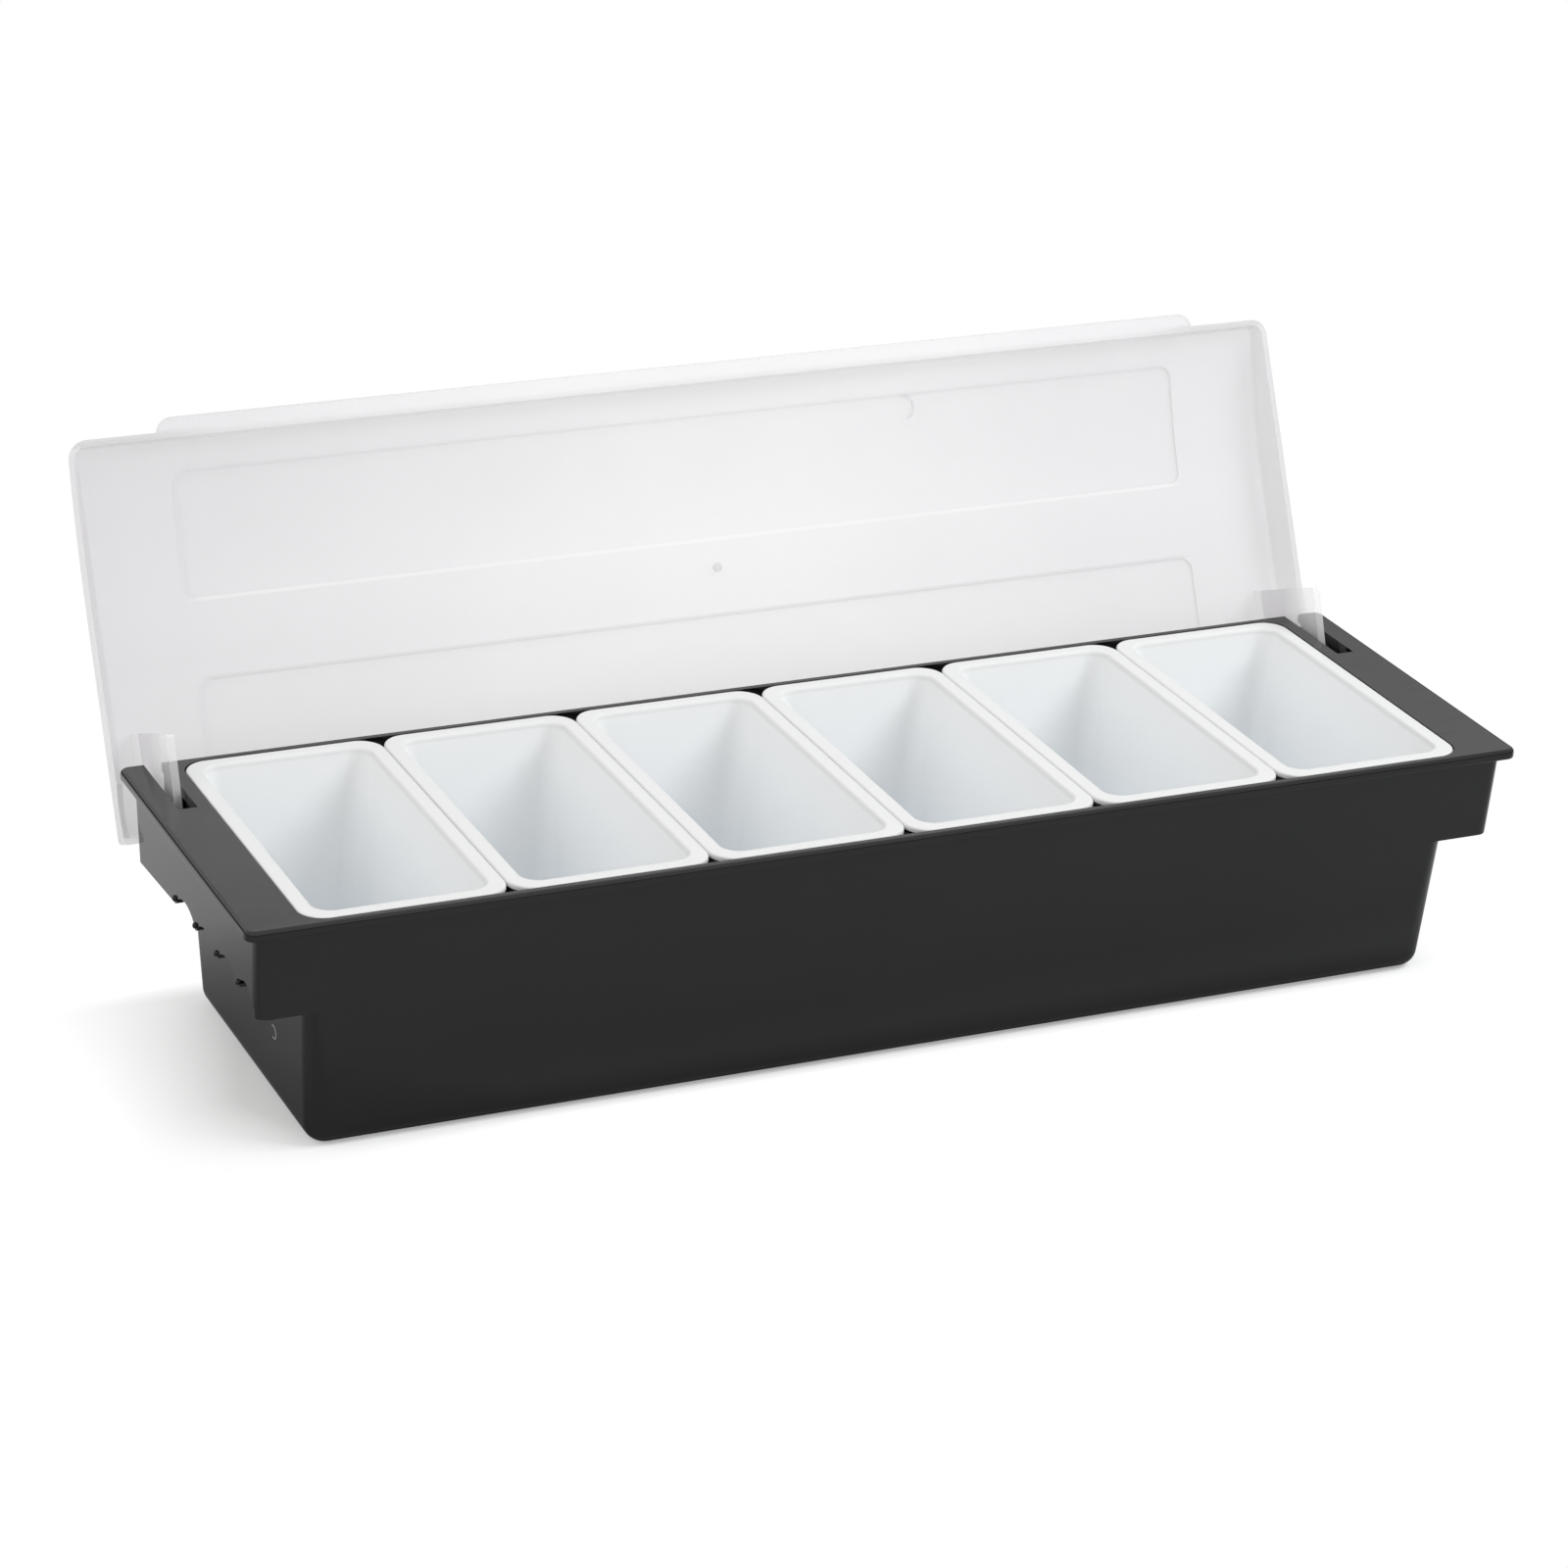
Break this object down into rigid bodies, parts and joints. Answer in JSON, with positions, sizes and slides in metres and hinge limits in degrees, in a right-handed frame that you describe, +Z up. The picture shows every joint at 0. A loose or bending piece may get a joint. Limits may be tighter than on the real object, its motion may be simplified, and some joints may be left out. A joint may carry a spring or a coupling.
{
  "type": "bar garnish tray",
  "caption": "Long black tray with hand grips at both ends, lift-out white tubs in a row and a clear hinged lid that leans open.",
  "frame": {"origin": "middle of the base's flat underside, on the table", "axes": "+X along the row of tubs to the right, -Y towards the user at the front, +Z up"},
  "size_m": [0.495, 0.2151, 0.1993],
  "materials": {
    "base_plastic": "black moulded plastic, satin",
    "tub_plastic": "white moulded plastic, smooth",
    "lid_plastic": "clear moulded plastic, slightly frosted"
  },
  "bodies": {
    "base": {"base_housing": "base_plastic"},
    "lid": {"lid": "lid_plastic"},
    "tub_1": {"tub_1": "tub_plastic"},
    "tub_2": {"tub_2": "tub_plastic"},
    "tub_3": {"tub_3": "tub_plastic"},
    "tub_4": {"tub_4": "tub_plastic"},
    "tub_5": {"tub_5": "tub_plastic"},
    "tub_6": {"tub_6": "tub_plastic"}
  },
  "joints": [
    {"name": "lid_hinge", "type": "hinge", "parent": "base", "child": "lid", "pos_m": [0, 0.0633, 0.0777], "axis": [-1, 0, 0], "range_deg": [-115.5, 0]},
    {"name": "tub_1_lift", "type": "slide", "parent": "base", "child": "tub_1", "axis": [0, 0, 1], "range_m": [0, 0.095]},
    {"name": "tub_2_lift", "type": "slide", "parent": "base", "child": "tub_2", "axis": [0, 0, 1], "range_m": [0, 0.095]},
    {"name": "tub_3_lift", "type": "slide", "parent": "base", "child": "tub_3", "axis": [0, 0, 1], "range_m": [0, 0.095]},
    {"name": "tub_4_lift", "type": "slide", "parent": "base", "child": "tub_4", "axis": [0, 0, 1], "range_m": [0, 0.095]},
    {"name": "tub_5_lift", "type": "slide", "parent": "base", "child": "tub_5", "axis": [0, 0, 1], "range_m": [0, 0.095]},
    {"name": "tub_6_lift", "type": "slide", "parent": "base", "child": "tub_6", "axis": [0, 0, 1], "range_m": [0, 0.095]}
  ]
}
